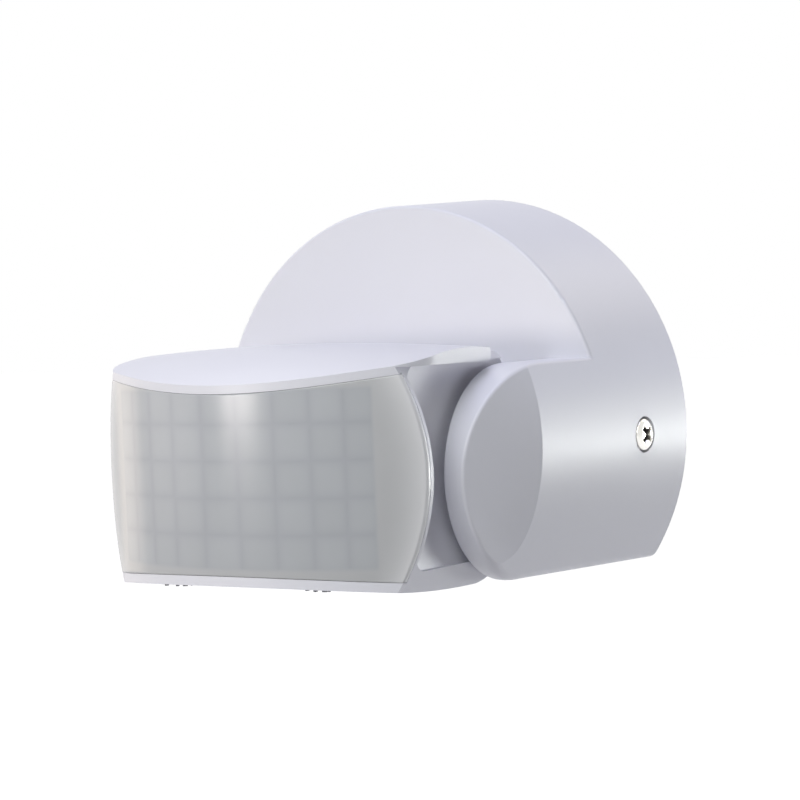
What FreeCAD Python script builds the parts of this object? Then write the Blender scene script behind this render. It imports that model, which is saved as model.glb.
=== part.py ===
import FreeCAD, Part
import math
import os
import Sketcher

# Wall-mounted infrared motion sensor: a D-shaped base with two yoke arms and a tilting lens head.
# X runs to the right seen from the front, Y runs back into the wall and Z up.
# The origin is the centre of the base circle on the wall plane. All sizes are in millimetres.

V = FreeCAD.Vector
doc = FreeCAD.newDocument("motion_sensor")
sheet = doc.addObject("Spreadsheet::Sheet", "Sizes")

sizes = {
    # base moulding
    "base_radius": 45.0,
    "base_depth": 29.7,
    "base_drop": 26.1,
    "draft_angle": 2.5,
    "wall": 2.2,
    "corner_round": 2.5,
    # yoke arms and the tilt axis
    "pivot_reach": 17.2,
    "pivot_drop": 5.55,
    "arm_radius": 19.47,
    "arm_clearance": 1.4,
    "tip_thickness": 3.95,
    "flare_reach": 3.4,
    "flare_lead": 3.0,
    "flare_ease": 3.1,
    "edge_round": 0.7,
    "trunnion_radius": 5.5,
    "trunnion_bore": 3.4,
    "running_gap": 0.05,
    "trunnion_end": 3.0,
    "clip_play": 0.2,
    "clip_groove": 0.8,
    "clip_depth": 0.8,
    "clip_lip": 2.3,
    "clip_mouth": 3.2,
    "friction_play": 0.1,
    "friction_width": 4.5,
    # head moulding
    "head_step": 10.0,
    "barrel_radius": 45.5,
    "barrel_drop": 3.5,
    "lens_radius": 56.6,
    "lens_reach": 40.75,
    "top_radius": 66.0,
    "crest_reach": 13.1,
    "top_height": 18.6,
    "top_crown": 450.0,
    "cap_step": 10.5,
    "cap_corner": 10.0,
    "cap_rear_reach": 6.1,
    "belly_radius": 211.0,
    "belly_reach": 7.1,
    "belly_drop": 25.1,
    "rear_round": 9.5,
    "rear_reach": 4.1,
    "rear_fall": 0.8,
    "drum_radius": 15.7,
    "cheek_step": 4.3,
    "cheek_rim": 1.6,
    "cheek_top": 14.7,
    "cheek_drop": 20.6,
    "cheek_round": 4.5,
    "head_wall": 2.0,
    # lens and its frame
    "lens_thickness": 0.9,
    "top_rim": 1.5,
    "bottom_rim": 1.7,
    "lens_gap": 0.08,
    "frame_thickness": 1.5,
    "frame_border": 2.4,
    "frame_gap": 0.25,
    "facet_groove": 0.3,
    "facet_width": 6.7,
    "facet_height": 6.4,
    "facet_top": 5.7,
    # dials under the head
    "dial_reach": 28.6,
    "time_dial_inset": 21.3,
    "lux_dial_inset": 16.6,
    "dial_radius": 4.6,
    "dial_top": 22.2,
    "dial_disc": 1.1,
    "dial_shaft": 1.5,
    "rib_width": 0.45,
    "rib_length": 0.8,
    "rib_height": 0.55,
    "grip_width": 0.9,
    "grip_length": 6.0,
    "grip_height": 0.75,
    "well_gap": 0.4,
    "well_collar": 1.2,
    "well_roof": 2.2,
    "time_dial_turn": -73.8,
    "lux_dial_turn": -55.8,
    # wall plate and its fasteners
    "plate_thickness": 2.2,
    "plate_gap": 0.3,
    "wall_screw_inset": 15.0,
    "wall_hole_radius": 2.2,
    "side_screw_out": 15.4,
    "side_screw_drop": 1.2,
    "side_screw_radius": 1.5,
    "side_head_radius": 3.0,
    "side_head_height": 2.0,
    "side_head_sunk": 1.4,
    "lug_width": 10.0,
    "lug_thickness": 2.6,
    "lug_inset": 5.9,
    "lug_rib": 4.0,
    "boss_radius": 5.0,
    "cable_hole_z": 3.0,
    "grommet_radius": 6.5,
    "grommet_lip": 1.8,
    "grommet_collar": 1.6,
    "cable_radius": 3.5,
    "terminal_pitch": 8.0,
    "terminal_height": 11.0,
    "terminal_depth": 12.0,
    "terminal_screw": 2.1,
    "terminal_floor": 3.0,
    "terminal_screw_length": 4.0,
    "terminal_slot": 0.8,
    "wire_mouth": 3.6,
    "wire_mouth_depth": 4.0,
    "terminal_clearance": 1.6,
    # base electronics
    "board_thickness": 1.6,
    "board_margin": 20.0,
    "board_height": 34.0,
    "board_low": -6.0,
    "board_standoff": 3.5,
    "post_radius": 3.0,
    "post_inset": 4.0,
    "small_screw": 1.1,
    "small_head": 2.1,
    "small_head_height": 1.4,
    "part_clearance": 4.2,
    "relay_width": 19.0,
    "relay_height": 15.5,
    "relay_low": 3.5,
    "relay_lower": 0.6,
    "relay_notch": 0.5,
    "part_spacing": 1.0,
    "film_length": 17.6,
    "film_thickness": 7.0,
    "film_low": 14.6,
    "film_lower": 3.5,
    "electrolytic_radius": 5.0,
    "electrolytic_x": -14.5,
    "electrolytic_z": 6.5,
    "varistor_radius": 4.6,
    "varistor_thickness": 3.4,
    "varistor_x": -3.7,
    "varistor_z": 5.0,
    "varistor_lift": 7.2,
    "varistor_pitch": 4.8,
    "lead_radius": 0.3,
    # head electronics
    "sensor_board_reach": 15.1,
    "sensor_board_gap": 2.7,
    "sensor_board_low": -18.0,
    "sensor_board_height": 28.0,
    "sensor_rib_lap": 2.5,
    "sensor_rib_depth": 5.5,
    "sensor_rib_low": 6.0,
    "sensor_rib_high": 4.0,
    "sensor_post_inset": 2.5,
    "sensor_post_in": 1.2,
    "dial_board_thickness": 1.2,
    "dial_board_z": -14.6,
    "trimmer_half": 3.4,
    "trimmer_height": 4.6,
    "holder_radius": 5.2,
    "holder_bore": 3.4,
    "holder_height": 3.0,
    "can_radius": 4.05,
    "can_height": 3.8,
    "flange_radius": 4.6,
    "flange_thickness": 0.6,
    "pane_width": 4.2,
    "pane_height": 3.2,
    "pane_thickness": 0.4,
    "pin_radius": 0.25,
    "pin_offset": 1.8,
    "side_part_x": 14.0,
    "side_part_z": 3.4,
    "light_sensor_radius": 2.5,
    "light_sensor_height": 2.2,
    "led_radius": 1.5,
    "led_height": 3.6,
    "led_collar": 0.4,
    "led_collar_height": 1.0,
}
# Places that follow from those sizes: the arms reach out of the base and straddle the head
derived = {
    "pivot_out": "(base_depth + pivot_reach)",
    "flare_out": "(pivot_out + flare_reach)",
    "head_half_width": "(base_radius - head_step)",
    "cap_half_width": "(base_radius - cap_step)",
    "cheek_half_width": "(head_half_width - cheek_step)",
    "yoke_half_gap": "(cheek_half_width + arm_clearance)",
    "lens_axis_out": "(pivot_out + lens_reach - lens_radius)",
    "top_crest_out": "(pivot_out + crest_reach)",
    "belly_out": "(pivot_out + belly_reach)",
    "dial_out": "(pivot_out + dial_reach)",
    "time_dial_x": "(head_half_width - time_dial_inset)",
    "lux_dial_x": "(lux_dial_inset - head_half_width)",
    "lug_face": "(base_radius - lug_inset)",
    "wall_screw_x": "(base_radius - wall_screw_inset)",
    "board_width": "(2 * (base_radius - board_margin))",
    "part_room": "(base_depth - wall - board_standoff - board_thickness - plate_thickness - part_clearance)",
    "sensor_board_out": "(pivot_out + sensor_board_reach)",
    "sensor_board_width": "(2 * (cheek_half_width - head_wall - sensor_board_gap))",
}
for row, (alias, number) in enumerate(sizes.items(), 1):
    sheet.set("A%d" % row, alias)
    sheet.set("B%d" % row, repr(number))
    sheet.setAlias("B%d" % row, alias)
doc.recompute()


def full(expression):
    """Write out the derived places, and the sheet's name before every alias."""
    words = []
    word = ""
    for letter in expression + " ":
        if letter.isalnum() or letter == "_":
            word += letter
        else:
            if word in derived:
                word = full(derived[word])
            words.append("Sizes." + word if word in sizes else word)
            words.append(letter)
            word = ""
    return "".join(words).strip()


def value(expression):
    """The number an expression has now."""
    return float(sheet.evalExpression(full(expression)))


def newBody(name):
    return doc.addObject("PartDesign::Body", name)


def sketchOn(body, plane, offset=None):
    """A sketch on one of the body's own origin planes, moved along its normal."""
    sketch = body.newObject("Sketcher::SketchObject", body.Name + "_sketch")
    support = [part for part in body.Origin.OriginFeatures if part.Role == plane]
    sketch.AttachmentSupport = (support[0], [""])
    sketch.MapMode = "FlatFace"
    if offset:
        sketch.setExpression("AttachmentOffset.Base.z", full(offset))
    return sketch


def pin(sketch, kind, places, expression):
    """A sketch dimension that follows the sheet."""
    index = sketch.addConstraint(Sketcher.Constraint(kind, *places, value(expression)))
    sketch.setExpression("Constraints[%d]" % index, full(expression))


def outline(sketch, corners):
    """A closed outline. A corner is (across, up); with (side, radius) added, an arc leaves it,
    whose centre lies on that side of the way to the next corner."""
    first = sketch.GeometryCount
    starts = []
    ends = []
    for number, corner in enumerate(corners):
        following = corners[(number + 1) % len(corners)]
        start = V(value(corner[0]), value(corner[1]), 0)
        end = V(value(following[0]), value(following[1]), 0)
        index = first + number
        if len(corner) == 2:
            sketch.addGeometry(Part.LineSegment(start, end))
            starts.append((index, 1))
            ends.append((index, 2))
            continue
        side, radius = corner[2:]
        chord = end - start
        half = chord.Length / 2
        rise = math.sqrt(max(value(radius) ** 2 - half ** 2, 0))
        normal = V(-chord.y, chord.x, 0).normalize()
        turn = 1 if side == "left" else -1
        centre = (start + end) * 0.5 + normal * rise * turn
        angles = [math.atan2(point.y - centre.y, point.x - centre.x) for point in (start, end)]
        circle = Part.Circle(centre, V(0, 0, 1), value(radius))
        if side == "left":
            sketch.addGeometry(Part.ArcOfCircle(circle, angles[0], angles[1]))
            starts.append((index, 1))
            ends.append((index, 2))
        else:
            sketch.addGeometry(Part.ArcOfCircle(circle, angles[1], angles[0]))
            starts.append((index, 2))
            ends.append((index, 1))
    for number, corner in enumerate(corners):
        sketch.addConstraint(Sketcher.Constraint("Coincident", *ends[number - 1], *starts[number]))
        pin(sketch, "DistanceX", (-1, 1, *starts[number]), corner[0])
        pin(sketch, "DistanceY", (-1, 1, *starts[number]), corner[1])
        if len(corner) == 4:
            pin(sketch, "Radius", (first + number,), corner[3])


def ring(sketch, across, up, radius):
    """A full circle in a sketch."""
    index = sketch.addGeometry(Part.Circle(V(value(across), value(up), 0), V(0, 0, 1), value(radius)))
    pin(sketch, "DistanceX", (-1, 1, index, 3), across)
    pin(sketch, "DistanceY", (-1, 1, index, 3), up)
    pin(sketch, "Radius", (index,), radius)


def rectangle(sketch, left, right, low, high):
    outline(sketch, [(left, low), (right, low), (right, high), (left, high)])


def extrude(kind, sketch, length, side="One side", backward=False):
    """A Pad or a Pocket of a sketch."""
    body = sketch.getParentGeoFeatureGroup()
    feature = body.newObject("PartDesign::" + kind, "%s_%s" % (body.Name, kind.lower()))
    feature.Profile = sketch
    feature.SideType = side
    feature.Reversed = backward
    feature.setExpression("Length", full(length))
    sketch.Visibility = False
    return feature


def groove(sketch, axis):
    """A groove turned all the way round a sketch's own axis."""
    body = sketch.getParentGeoFeatureGroup()
    feature = body.newObject("PartDesign::Groove", body.Name + "_groove")
    feature.Profile = sketch
    feature.ReferenceAxis = (sketch, [axis])
    feature.Angle = 360
    return feature


def loftCut(body, first, second):
    """A ruled cut from one sketch to another."""
    feature = body.newObject("PartDesign::SubtractiveLoft", body.Name + "_loft")
    feature.Profile = first
    feature.Sections = [second]
    feature.Ruled = True
    return feature


def fillet(body, radius, wanted):
    """Round the edges of the body that pass the test."""
    doc.recompute()
    base = body.Tip
    edges = ["Edge%d" % (number + 1) for number, edge in enumerate(base.Shape.Edges) if wanted(edge)]
    feature = body.newObject("PartDesign::Fillet", body.Name + "_fillet")
    feature.Base = (base, edges)
    feature.setExpression("Radius", full(radius))
    return feature


def place(shape, x, y, z, direction="Z"):
    """Put a primitive at a point of the sheet, with its own Z along the direction."""
    turns = {"X": (V(0, 1, 0), 90), "Y": (V(1, 0, 0), -90), "-Y": (V(1, 0, 0), 90), "Z": (V(0, 0, 1), 0)}
    shape.Placement = FreeCAD.Placement(V(), FreeCAD.Rotation(*turns[direction]))
    for letter, expression in zip("xyz", (x, y, z)):
        shape.setExpression("Placement.Base." + letter, full(expression))
    return shape


def rod(x, y, z, radius, length, direction="Z"):
    """A cylinder from a point, along a direction."""
    shape = doc.addObject("Part::Cylinder", "rod")
    shape.setExpression("Radius", full(radius))
    shape.setExpression("Height", full(length))
    return place(shape, x, y, z, direction)


def block(left, right, front, back, low, high):
    """A box between its six faces."""
    shape = doc.addObject("Part::Box", "block")
    shape.setExpression("Length", full("(%s) - (%s)" % (right, left)))
    shape.setExpression("Width", full("(%s) - (%s)" % (back, front)))
    shape.setExpression("Height", full("(%s) - (%s)" % (high, low)))
    return place(shape, left, front, low)


def fuse(*shapes):
    result = doc.addObject("Part::MultiFuse", "fuse")
    result.Shapes = list(shapes)
    return result


def cut(base, *tools):
    result = doc.addObject("Part::Cut", "cut")
    result.Base = base
    result.Tool = tools[0] if len(tools) == 1 else fuse(*tools)
    return result


def common(*shapes):
    result = doc.addObject("Part::MultiCommon", "common")
    result.Shapes = list(shapes)
    return result


def group(*shapes):
    """Several like pieces, kept apart, under one name."""
    result = doc.addObject("Part::Compound", "group")
    result.Links = list(shapes)
    return result


nodes = []


def node(name, shape):
    """Name a finished sub-part."""
    shape.Label = name
    nodes.append(shape)
    return shape


reach = "(pivot_out + arm_radius + 20)"
both = ("", "-")


# Base moulding: a circle with a flat bottom, drawn out into two arms that hold the head
def yokeForm(name, inset, back):
    """The base with its arms, every face moved inwards by the inset."""
    body = newBody(name)
    side = sketchOn(body, "YZ_Plane")
    radius = "arm_radius - " + inset
    outline(side, [
        (back, "-base_drop + " + inset),
        ("-pivot_out", "-pivot_drop - arm_radius + " + inset, "right", radius),
        ("-pivot_out - arm_radius + " + inset, "-pivot_drop", "right", radius),
        ("-pivot_out", "-pivot_drop + arm_radius - " + inset),
        ("-base_depth + " + inset, "-pivot_drop + arm_radius - " + inset),
        ("-base_depth + " + inset, "base_radius + 1"),
        (back, "base_radius + 1"),
    ])
    extrude("Pad", side, "2 * base_radius + 4", "Symmetric")
    draft = sketchOn(body, "YZ_Plane")
    outline(draft, [
        ("2", "-(base_radius - %s + tan(draft_angle) * 2)" % inset),
        ("-" + reach, "-(base_radius - %s - tan(draft_angle) * %s)" % (inset, reach)),
        ("-" + reach, "-(base_radius + %s)" % reach),
        ("2", "-(base_radius + %s)" % reach),
    ])
    groove(draft, "H_Axis")
    gap = sketchOn(body, "XY_Plane")
    half = "(yoke_half_gap + %s)" % inset
    rectangle(gap, "-" + half, half, "-" + reach, "-base_depth + " + inset)
    extrude("Pocket", gap, "4 * base_radius", "Symmetric")
    # each arm flares in from the round wall to a straight upright edge at its tip
    wallX = "(base_radius - %s - tan(draft_angle) * flare_out)" % inset
    tipX = "(yoke_half_gap + tip_thickness - %s)" % inset
    armEnd = "(pivot_out + arm_radius + 0.5)"
    share = "(flare_lead / (%s - flare_out))" % armEnd
    crest = "(%s + %s * (%s - %s))" % (wallX, share, wallX, tipX)
    bend = "(%s - flare_ease)" % wallX
    half = "(arm_radius + pivot_drop + 1)"
    edge = "(%s - %s + sqrt(%s ^ 2 - %s ^ 2))" % (crest, bend, bend, half)
    for sign, side in (("", "left"), ("-", "right")):
        curved = sketchOn(body, "XZ_Plane", "flare_out - flare_lead")
        outline(curved, [
            (sign + edge, "-" + half, side, bend),
            (sign + edge, half),
            (sign + "2 * base_radius", half),
            (sign + "2 * base_radius", "-" + half),
        ])
        upright = sketchOn(body, "XZ_Plane", armEnd)
        outline(upright, [
            (sign + tipX, "-" + half),
            (sign + tipX, half),
            (sign + "2 * base_radius", half),
            (sign + "2 * base_radius", "-" + half),
        ])
        loftCut(body, curved, upright)
    return body


yoke = yokeForm("yoke_form", "0", "0")


def near(first, second):
    return abs(first - second) < 0.05


def longCorner(edge):
    """The long edges between the flat bottom and the round sides."""
    box = edge.BoundBox
    return near(box.YMax, 0) and box.YMin < -value("base_depth") and box.ZMax < -value("pivot_drop")


def mouldedEdge(edge):
    """The rim of the front face, the outlines of the arms and the edges of their flare."""
    box = edge.BoundBox
    straightAcross = near(box.YMin, box.YMax) and type(edge.Curve).__name__ == "Line"
    low = near(box.ZMin, box.ZMax) and box.ZMax < -value("pivot_drop")
    if straightAcross:
        return low and near(box.YMin, -value("base_depth"))
    return not near(box.YMax, 0)


doc.recompute()
fillet(yoke, "corner_round", longCorner)
fillet(yoke, "edge_round", mouldedEdge)

pivot = ("-pivot_out", "-pivot_drop")
screwFace = "(base_radius - side_screw_out * tan(draft_angle))"
postPlaces = [(sign + "(board_width / 2 - post_inset)", z) for sign in both
              for z in ("board_low + post_inset", "board_low + board_height - post_inset")]

shell = cut(yoke, yokeForm("yoke_core", "wall", "1"))
bosses = []
holes = [rod("-(yoke_half_gap + wall + 1)", *pivot, "trunnion_radius + running_gap",
             "2 * (yoke_half_gap + wall + 1)", "X")]
for sign in both:
    inner = "%s(lug_face + plate_gap)" % sign
    bossLength = screwFace + " - wall / 2 - lug_face - plate_gap"
    bossStart = inner if sign == "" else "-(lug_face + plate_gap) - (%s)" % bossLength
    bosses.append(rod(bossStart, "-side_screw_out", "-side_screw_drop", "boss_radius", bossLength, "X"))
    seat = screwFace + " - side_head_sunk"
    seatStart = seat if sign == "" else "-(%s) - boss_radius" % seat
    holes.append(rod(seatStart, "-side_screw_out", "-side_screw_drop", "side_head_radius + well_gap",
                     "boss_radius", "X"))
    holeStart = inner if sign == "" else "-base_radius"
    holes.append(rod(holeStart, "-side_screw_out", "-side_screw_drop", "side_screw_radius + running_gap",
                     "base_radius - lug_face - plate_gap", "X"))
for x, z in postPlaces:
    bosses.append(rod(x, "-base_depth + wall / 2", z, "post_radius", "board_standoff + wall / 2", "Y"))
    holes.append(rod(x, "-base_depth + wall", z, "small_screw + running_gap", "board_standoff + 1", "Y"))
node("base_housing", cut(fuse(shell, *bosses), *holes))

# Wall plate: a flat D inside the open back, with a lug for each side screw
plate = newBody("plate_form")
plateRadius = "(base_radius - wall - plate_gap)"
plateLow = "(-base_drop + wall + plate_gap)"
plateHalf = "sqrt(%s ^ 2 - %s ^ 2)" % (plateRadius, plateLow)
face = sketchOn(plate, "XZ_Plane")
outline(face, [
    (plateHalf, plateLow, "left", plateRadius),
    (plateRadius, "0", "left", plateRadius),
    ("0", plateRadius, "left", plateRadius),
    ("-" + plateRadius, "0", "left", plateRadius),
    ("-" + plateHalf, plateLow),
])
for sign in both:
    ring(face, sign + "wall_screw_x", "0", "wall_hole_radius")
ring(face, "0", "cable_hole_z", "grommet_radius + running_gap")
extrude("Pad", face, "plate_thickness")
lugs = sketchOn(plate, "XZ_Plane")
for sign in both:
    rectangle(lugs, sign + "(lug_face - lug_thickness)", sign + "lug_face",
              "-side_screw_drop - lug_width / 2", "-side_screw_drop + lug_width / 2")
extrude("Pad", lugs, "side_screw_out + lug_width / 2")
ribs = sketchOn(plate, "XY_Plane", "-side_screw_drop - lug_thickness / 4")
for sign in both:
    outline(ribs, [
        (sign + "(lug_face - lug_thickness / 2)", "-plate_thickness / 2"),
        (sign + "(lug_face - lug_thickness / 2 - lug_rib)", "-plate_thickness / 2"),
        (sign + "(lug_face - lug_thickness / 2)", "-side_screw_out + 3 * side_screw_radius"),
    ])
extrude("Pad", ribs, "lug_thickness / 2")
lugHole = rod("-base_radius", "-side_screw_out", "-side_screw_drop", "side_screw_radius + running_gap",
              "2 * base_radius", "X")
node("wall_plate", cut(plate, lugHole))

# Rubber grommet round the cable entry
grommet = fuse(rod("0", "0", "cable_hole_z", "grommet_radius", "plate_thickness", "-Y"),
               rod("0", "-plate_thickness", "cable_hole_z", "grommet_radius + grommet_lip",
                   "grommet_collar", "-Y"))
cableWay = rod("0", "1", "cable_hole_z", "cable_radius", "2 * (plate_thickness + grommet_collar)", "-Y")
node("cable_grommet", cut(grommet, cableWay))


# Pan-head screws that hold the housing to the plate's lugs, with cross recesses
def panScrew(radius, height, shank, length):
    """A pan-head screw pointing down from the origin, with a cross recess turned 45 degrees."""
    body = newBody("screw")
    profile = sketchOn(body, "XZ_Plane")
    outline(profile, [
        ("0", "-" + length),
        (shank, "-" + length),
        (shank, "0"),
        (radius, "0"),
        (radius, height + " * 0.45", "left", radius + " * 0.62"),
        (radius + " * 0.55", height),
        ("0", height),
    ])
    turn = body.newObject("PartDesign::Revolution", "turned")
    turn.Profile = profile
    turn.ReferenceAxis = (profile, ["V_Axis"])
    turn.Angle = 360
    return body


def crossRecess(body, radius, height):
    """A Phillips cross cut into the head of a screw."""
    recess = sketchOn(body, "XY_Plane", height)
    arm = "(%s * 0.5)" % radius
    half = "(%s * 0.11)" % radius
    corners = [(half, arm), ("-" + half, arm), ("-" + half, half), ("-" + arm, half),
               ("-" + arm, "-" + half), ("-" + half, "-" + half), ("-" + half, "-" + arm),
               (half, "-" + arm), (half, "-" + half), (arm, "-" + half), (arm, half), (half, half)]
    outline(recess, corners)
    extrude("Pocket", recess, height + " * 0.6")
    return body


def copyOf(shape, x, y, z, *turns):
    """The same piece again at another place, turned about one axis after another."""
    link = doc.addObject("Part::Compound", "copy")
    link.Links = [shape]
    rotation = FreeCAD.Rotation()
    for axis, angle in turns:
        rotation = rotation.multiply(FreeCAD.Rotation(axis, angle))
    link.Placement = FreeCAD.Placement(V(), rotation)
    for letter, expression in zip("xyz", (x, y, z)):
        link.setExpression("Placement.Base." + letter, full(expression))
    return link


sideScrew = crossRecess(panScrew("side_head_radius", "side_head_height", "side_screw_radius",
                                 "(%s - side_head_sunk - lug_face + lug_thickness + 1)" % screwFace),
                        "side_head_radius", "side_head_height")
seatX = "(%s - side_head_sunk)" % screwFace
screwRight = copyOf(sideScrew, seatX, "-side_screw_out", "-side_screw_drop", (V(0, 1, 0), 90),
                    (V(0, 0, 1), 45))
screwLeft = copyOf(sideScrew, "-" + seatX, "-side_screw_out", "-side_screw_drop", (V(0, 1, 0), -90),
                   (V(0, 0, 1), 45))
node("side_screws", group(screwRight, screwLeft))

# Terminal block on the plate: three clamps side by side
terminals = newBody("terminal_form")
base = sketchOn(terminals, "XZ_Plane", "plate_thickness")
blockLow = "(-base_drop + wall + plate_gap + terminal_clearance)"
rectangle(base, "-terminal_pitch * 1.6", "terminal_pitch * 1.6", blockLow, blockLow + " + terminal_height")
extrude("Pad", base, "terminal_depth")
wells = sketchOn(terminals, "XZ_Plane", "plate_thickness + terminal_depth")
mouths = sketchOn(terminals, "XY_Plane", blockLow + " + terminal_height")
columns = ("-terminal_pitch", "0", "terminal_pitch")
for column in columns:
    ring(wells, column, blockLow + " + terminal_height / 2", "terminal_screw + 4 * running_gap")
    rectangle(mouths, column + " - wire_mouth / 2", column + " + wire_mouth / 2",
              "-plate_thickness - terminal_depth / 2 - wire_mouth_depth / 2",
              "-plate_thickness - terminal_depth / 2 + wire_mouth_depth / 2")
extrude("Pocket", wells, "terminal_depth - terminal_floor")
extrude("Pocket", mouths, "terminal_height * 0.8")
node("terminal_block", terminals)
slotted = []
screwTop = "(-plate_thickness - terminal_depth + terminal_floor)"
for column in columns:
    head = rod(column, screwTop, blockLow + " + terminal_height / 2", "terminal_screw",
               "terminal_screw_length", "Y")
    slot = block(column + " - terminal_slot / 2", column + " + terminal_slot / 2",
                 screwTop + " - terminal_slot", screwTop + " + terminal_slot", blockLow,
                 blockLow + " + terminal_height")
    slotted.append(cut(head, slot))
node("terminal_screws", group(*slotted))

# Power board on posts behind the front wall, with its parts on the wall side
boardFront = "(-base_depth + wall + board_standoff)"
boardBack = "(%s + board_thickness)" % boardFront
board = block("-board_width / 2", "board_width / 2", boardFront, boardBack, "board_low",
              "board_low + board_height")
boardHoles = [rod(x, boardFront + " - 1", z, "small_screw + running_gap", "board_thickness + 2", "Y")
              for x, z in postPlaces]
node("power_board", cut(board, *boardHoles))
smallScrew = panScrew("small_head", "small_head_height", "small_screw",
                      "(board_thickness + board_standoff * 0.8)")
crossRecess(smallScrew, "small_head", "small_head_height")
node("board_screws", group(*[copyOf(smallScrew, x, boardBack, z, (V(1, 0, 0), -90))
                             for x, z in postPlaces]))
relayBack = "(%s + part_room - relay_lower)" % boardBack
relay = block("part_spacing", "part_spacing + relay_width", boardBack, relayBack, "relay_low",
              "relay_low + relay_height")
notch = block("part_spacing - relay_notch", "part_spacing + relay_notch", relayBack + " - relay_notch",
              relayBack + " + relay_notch", "relay_low - relay_notch",
              "relay_low + relay_height + relay_notch")
node("relay", cut(relay, notch))
filmRight = "(-1.4 * part_spacing)"
node("film_capacitor", block(filmRight + " - film_length", filmRight, boardBack,
                             boardBack + " + part_room - film_lower", "film_low",
                             "film_low + film_thickness"))
node("electrolytic_capacitor", rod("electrolytic_x", boardBack, "electrolytic_z", "electrolytic_radius",
                                   "part_room", "Y"))
disc = rod("varistor_x - varistor_thickness / 2", boardBack + " + varistor_lift", "varistor_z",
           "varistor_radius", "varistor_thickness", "X")
legs = [rod("varistor_x", boardBack, "varistor_z %s varistor_pitch / 2" % sign, "lead_radius",
            "varistor_lift - varistor_radius / 2", "Y") for sign in "+-"]
node("varistor", fuse(disc, *legs))


# Head: a side profile, the barrel seen from the front and the lens arc seen from above, in one form
frontEnd = "(lens_axis_out + lens_radius + 4)"


def crownGroove(body, top):
    """Cut the top to a shallow dome: the side arc turned about an axis far below."""
    past = "(top_radius - 1)"
    rise = "(top_height - %s)" % top
    end = "(%s - top_radius + sqrt(top_radius ^ 2 - %s ^ 2))" % (rise, past)
    side = sketchOn(body, "YZ_Plane")
    outline(side, [
        ("-top_crest_out - " + past, end, "right", "top_radius"),
        ("-top_crest_out", rise, "right", "top_radius"),
        ("-top_crest_out + " + past, end),
        ("-top_crest_out + " + past, rise + " + top_radius"),
        ("-top_crest_out - " + past, rise + " + top_radius"),
    ])
    axis = side.addGeometry(Part.LineSegment(V(0, value("top_height - top_crown"), 0),
                                             V(value("top_radius"), value("top_height - top_crown"), 0)),
                            True)
    side.addConstraint(Sketcher.Constraint("Horizontal", axis))
    pin(side, "DistanceX", (-1, 1, axis, 1), "0")
    pin(side, "DistanceY", (-1, 1, axis, 1), "top_height - top_crown")
    pin(side, "DistanceX", (axis, 1, axis, 2), "top_radius")
    groove(side, "Axis0")


def headSlab(name, top, bottom):
    """The head's side profile at full width; each figure moves its own faces inwards."""
    body = newBody(name)
    side = sketchOn(body, "YZ_Plane")
    lowFront = "belly_radius - belly_drop - sqrt((belly_radius - %s) ^ 2 - (%s - belly_out) ^ 2)"
    outline(side, [
        ("-" + frontEnd, lowFront % (bottom, frontEnd), "left", "belly_radius - " + bottom),
        ("-belly_out", "-belly_drop + " + bottom, "left", "rear_round - " + bottom),
        ("-belly_out + rear_round - " + bottom, "-belly_drop + rear_round"),
        ("-pivot_out - rear_reach + rear_round - " + top, "top_height - rear_fall - rear_round",
         "left", "rear_round - " + top),
        ("-pivot_out - rear_reach", "top_height - rear_fall - " + top),
        ("-pivot_out - rear_reach", "top_height + 1"),
        ("-" + frontEnd, "top_height + 1"),
    ])
    extrude("Pad", side, "2 * head_half_width + 6", "Symmetric")
    crownGroove(body, top)
    return body


def barrelPocket(body, inset):
    """Cut the sides to the barrel seen from the front."""
    span = "(barrel_radius * 0.66)"
    edge = "(head_half_width - barrel_radius + sqrt((barrel_radius - %s) ^ 2 - %s ^ 2))" % (inset, span)
    sides = sketchOn(body, "XZ_Plane")
    outline(sides, [
        (edge, "-barrel_drop - " + span, "left", "barrel_radius - " + inset),
        (edge, "-barrel_drop + " + span),
        ("head_half_width + 5", "-barrel_drop + " + span),
        ("head_half_width + 5", "-barrel_drop - " + span),
    ])
    outline(sides, [
        ("-" + edge, "-barrel_drop - " + span, "right", "barrel_radius - " + inset),
        ("-" + edge, "-barrel_drop + " + span),
        ("-(head_half_width + 5)", "-barrel_drop + " + span),
        ("-(head_half_width + 5)", "-barrel_drop - " + span),
    ])
    extrude("Pocket", sides, "4 * " + frontEnd, "Symmetric")


def arcPocket(body, radius):
    """Cut the front to an arc about the lens axis."""
    half = "(head_half_width + 5)"
    depth = "-lens_axis_out - sqrt((%s) ^ 2 - %s ^ 2)" % (radius, half)
    front = sketchOn(body, "XY_Plane")
    outline(front, [
        ("-" + half, depth, "left", radius),
        (half, depth),
        (half, "-%s - 5" % frontEnd),
        ("-" + half, "-%s - 5" % frontEnd),
    ])
    extrude("Pocket", front, "4 * top_height", "Symmetric")


def cheekRoom(name, inset, front):
    """What is taken from both sides, behind the lens, to make room for the arms."""
    body = newBody(name)
    side = sketchOn(body, "YZ_Plane")
    radius = "(cheek_round + %s)" % inset
    outline(side, [
        ("0", "-cheek_drop - " + inset),
        ("0", "cheek_top + " + inset),
        ("-%s + %s" % (front, radius), "cheek_top + " + inset, "left", radius),
        ("-" + front, "cheek_top + %s - %s" % (inset, radius)),
        ("-" + front, "-cheek_drop - %s + %s" % (inset, radius), "left", radius),
        ("-%s + %s" % (front, radius), "-cheek_drop - " + inset),
    ])
    extrude("Pad", side, "2 * head_half_width + 8", "Symmetric")
    middle = "(cheek_half_width - %s)" % inset
    return cut(body, block("-" + middle, middle, "-2 * pivot_out - 2 * lens_reach", "pivot_out",
                           "-base_radius", "base_radius"))


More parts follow.
